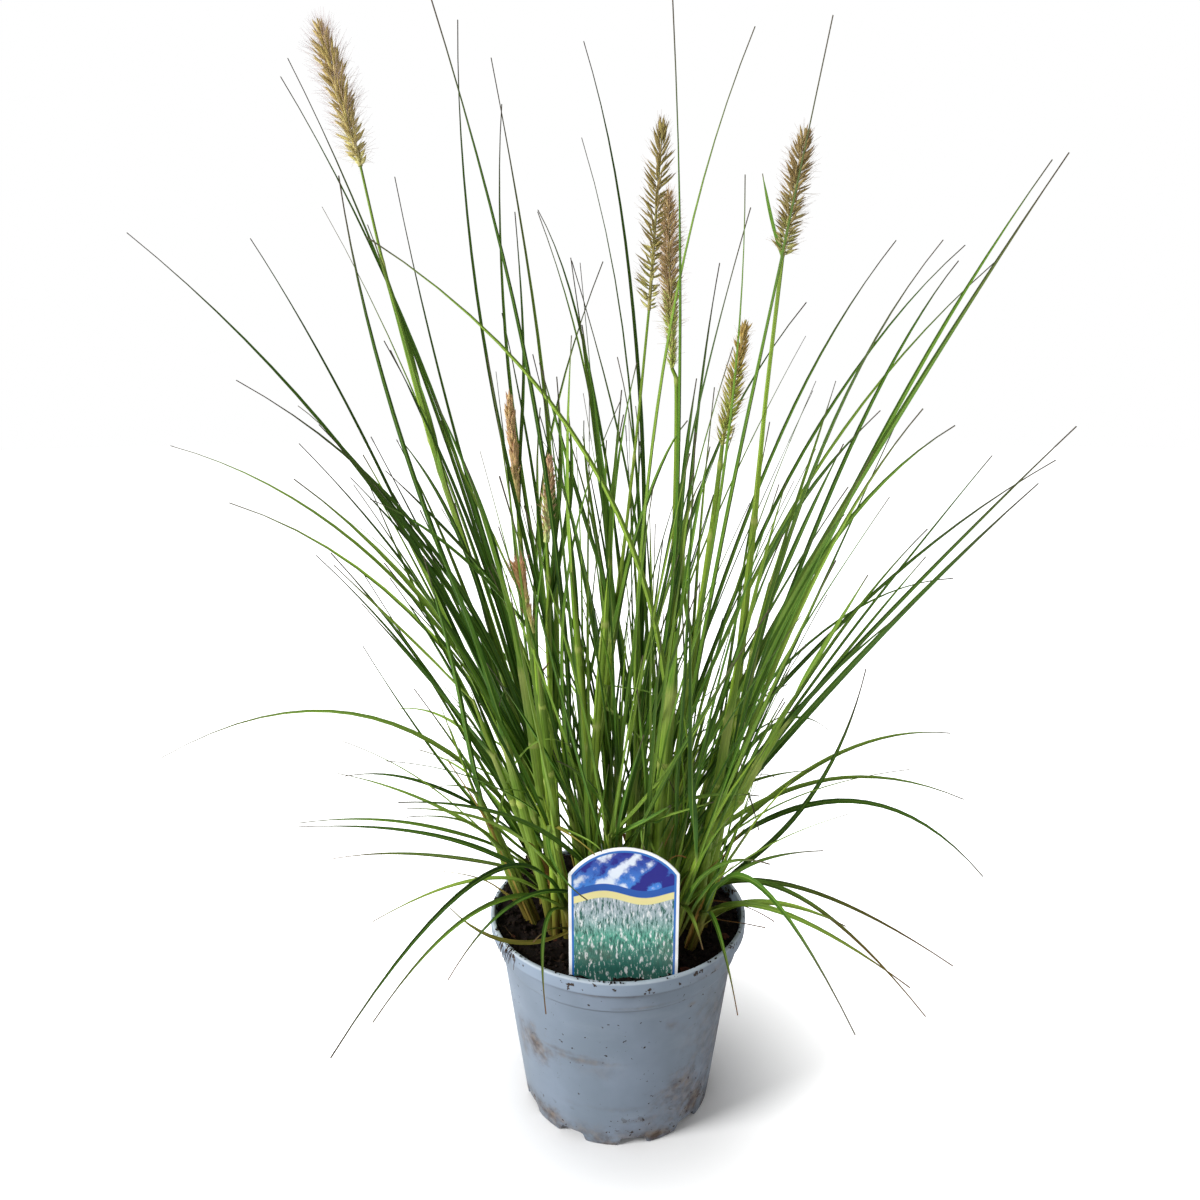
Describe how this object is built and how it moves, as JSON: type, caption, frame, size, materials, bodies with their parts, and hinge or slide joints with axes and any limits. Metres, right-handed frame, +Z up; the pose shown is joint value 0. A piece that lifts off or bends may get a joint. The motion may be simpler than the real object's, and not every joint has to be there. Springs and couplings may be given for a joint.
{
  "type": "potted fountain grass",
  "caption": "Upright arching clump of grass with bristly flower spikes, growing in a round stepped nursery pot of soil with an arched plant label.",
  "frame": {"origin": "on the ground under the middle of the pot, which is also the middle of the clump's width and depth", "axes": "+Z up along the pot's axis and the clump's height; +X to the right and +Y to the back, seen from the label's side"},
  "size_m": [0.584, 0.435, 0.7014],
  "materials": {
    "pot": "satin",
    "soil": "matte",
    "label": "satin",
    "leaf": "satin",
    "culm": "satin",
    "spike": "matte"
  },
  "bodies": {
    "root": {"pot": "pot", "soil": "soil", "plant_label": "label", "tiller_1": "leaf", "tiller_2": "leaf", "tiller_3": "leaf", "tiller_4": "leaf", "tiller_5": "leaf", "tiller_6": "leaf", "tiller_7": "leaf", "tiller_8": "leaf", "tiller_9": "leaf", "tiller_10": "leaf", "tiller_11": "leaf", "tiller_12": "leaf", "tiller_13": "leaf", "tiller_14": "leaf", "tiller_15": "leaf", "tiller_16": "leaf", "tiller_17": "leaf", "tiller_18": "leaf", "tiller_19": "leaf", "tiller_20": "leaf", "tiller_21": "leaf", "tiller_22": "leaf", "tiller_23": "leaf", "tiller_24": "leaf", "tiller_25": "leaf", "flowering_stem_a": "culm", "flowering_stem_b": "culm", "flowering_stem_c": "culm", "flowering_stem_d": "culm", "flowering_stem_e": "culm", "flowering_stem_f": "culm", "flowering_stem_g": "culm", "flowering_stem_h": "culm", "spike_a": "spike", "spike_b": "spike", "spike_c": "spike", "spike_d": "spike", "spike_e": "spike", "spike_f": "spike", "spike_g": "spike", "spike_h": "spike"}
  },
  "joints": []
}
